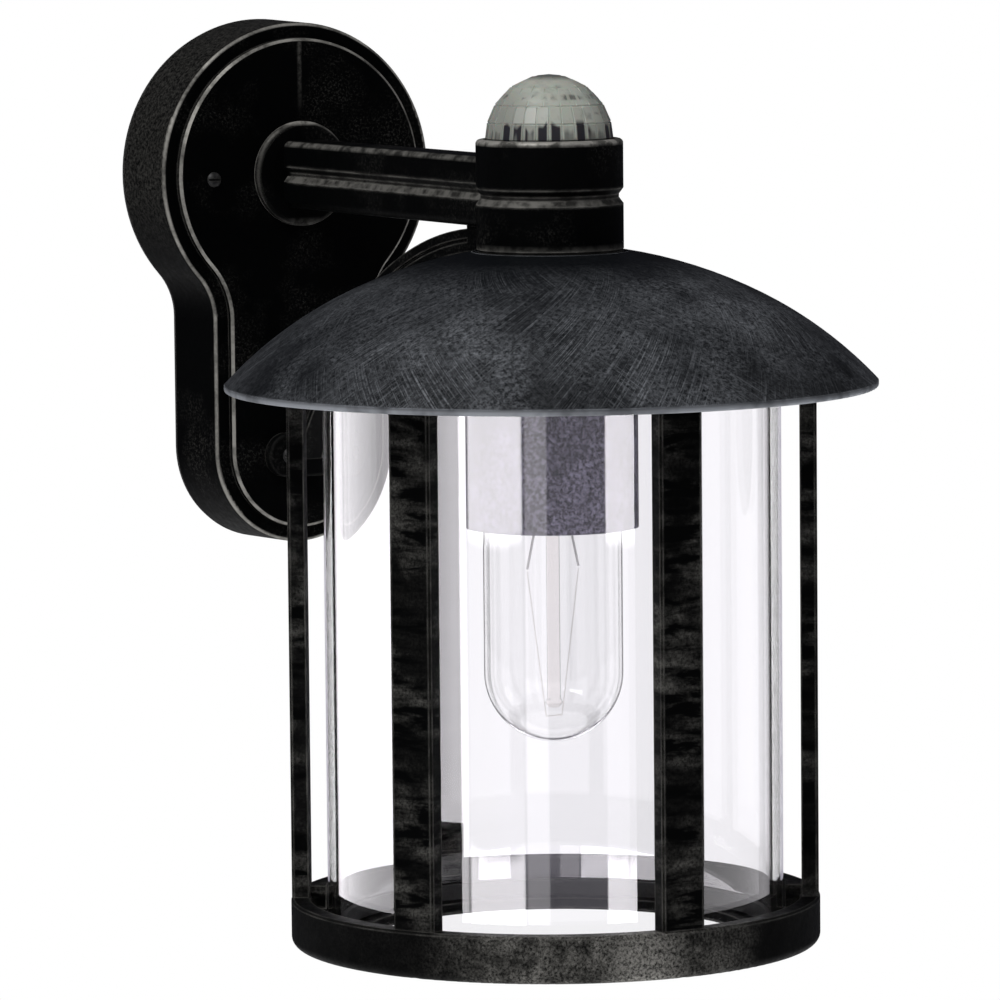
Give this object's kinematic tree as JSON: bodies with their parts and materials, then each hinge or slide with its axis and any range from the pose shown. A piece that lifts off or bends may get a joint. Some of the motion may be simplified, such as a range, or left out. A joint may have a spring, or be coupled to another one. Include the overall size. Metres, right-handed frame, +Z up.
{
  "type": "outdoor wall lantern",
  "caption": "Hanging wall lantern: keyhole wall plate, arm with curved stay, domed roof, barred cage round a clear glass tube, lamp and domed movement sensor.",
  "frame": {"origin": "on the wall, where the arm's axis meets it: the middle of the wall plate's round part", "axes": "+Y into the wall, +Z up, +X to the right of someone facing the wall"},
  "size_m": [0.214, 0.314, 0.2987],
  "materials": {
    "cast_black_silver": "black enamel wiped with silver",
    "roof_black_silver": "black enamel with fine crossed silver brush strokes",
    "cover_black_silver": "black enamel with dense silver speckle",
    "clear_glass": "clear, polished",
    "lamp_glass": "clear, polished",
    "lens_plastic": "milky, moulded facets",
    "black_rubber": "matt",
    "zinc_steel": "zinc plated",
    "dark_screw": "blackened steel, worn bright edges",
    "brass": "turned",
    "nickel": "rolled nickel-plated shell",
    "porcelain": "white glazed",
    "black_vitrite": "fused black glass",
    "terminal_plastic": "natural polyamide",
    "board_green": "solder mask",
    "relay_plastic": "moulded",
    "capacitor_sleeve": "shrink sleeve",
    "dial_plastic": "moulded",
    "dial_base": "moulded",
    "lead_brown": "extruded insulation",
    "lead_blue": "extruded insulation",
    "lead_green": "extruded insulation",
    "tungsten": "drawn wire"
  },
  "bodies": {
    "fitting": {"wall_gasket": "black_rubber", "back_plate": "zinc_steel", "standoffs": "zinc_steel", "wall_plate": "cast_black_silver", "plate_screws": "dark_screw", "cable_grommet": "black_rubber", "terminal_block": "terminal_plastic", "terminal_screws": "brass", "earth_screw": "brass", "arm": "cast_black_silver", "arm_screws": "zinc_steel", "stay": "cast_black_silver", "stay_foot_screws": "dark_screw", "stay_top_screw": "zinc_steel", "sensor_board": "board_green", "board_screws": "zinc_steel", "pyro_sensor": "nickel", "relay": "relay_plastic", "capacitor": "capacitor_sleeve", "dial_sockets": "dial_base", "lens_seal": "black_rubber", "roof": "roof_black_silver", "roof_gasket": "black_rubber", "roof_studs": "zinc_steel", "nipple": "zinc_steel", "nipple_nuts": "zinc_steel", "lock_washer": "zinc_steel", "socket_cover": "cover_black_silver", "lampholder_body": "porcelain", "lampholder_thread": "brass", "lampholder_contact": "brass", "supply_live_lead": "lead_brown", "supply_neutral_lead": "lead_blue", "lamp_live_lead": "lead_brown", "lamp_neutral_lead": "lead_blue", "earth_lead": "lead_green"},
    "basket": {"cage_bar_1": "cast_black_silver", "cage_bar_2": "cast_black_silver", "cage_bar_3": "cast_black_silver", "cage_bar_4": "cast_black_silver", "cage_bar_5": "cast_black_silver", "cage_bar_6": "cast_black_silver", "top_ring": "cast_black_silver", "bottom_ring": "cast_black_silver", "glass_cylinder": "clear_glass", "glass_seal_top": "black_rubber", "glass_seal_bottom": "black_rubber", "bar_screws_top": "zinc_steel", "bar_screws_bottom": "dark_screw", "thumb_nuts": "brass"},
    "lamp": {"lamp_envelope": "lamp_glass", "lamp_cap": "nickel", "lamp_insulator": "black_vitrite", "lamp_contact": "nickel", "lamp_stem": "lamp_glass", "lamp_wires": "tungsten", "lamp_filament": "tungsten"},
    "lens": {"fresnel_lens": "lens_plastic"},
    "time_dial": {"time_dial": "dial_plastic"},
    "lux_dial": {"lux_dial": "dial_plastic"}
  },
  "joints": [
    {"name": "lens_lift", "type": "slide", "parent": "fitting", "child": "lens", "axis": [0, 0, 1], "range_m": [0, 0.03]},
    {"name": "time_dial_turn", "type": "hinge", "parent": "fitting", "child": "time_dial", "pos_m": [-0.0095, -0.214, 0.01], "axis": [0, 0, 1], "range_deg": [-135, 135]},
    {"name": "lux_dial_turn", "type": "hinge", "parent": "fitting", "child": "lux_dial", "pos_m": [0.0095, -0.214, 0.01], "axis": [0, 0, 1], "range_deg": [-135, 135]},
    {"name": "lamp_unscrew", "type": "slide", "parent": "fitting", "child": "lamp", "axis": [0, 0, -1], "range_m": [0, 0.18]},
    {"name": "basket_lower", "type": "slide", "parent": "fitting", "child": "basket", "axis": [0, 0, -1], "range_m": [0, 0.2]}
  ]
}
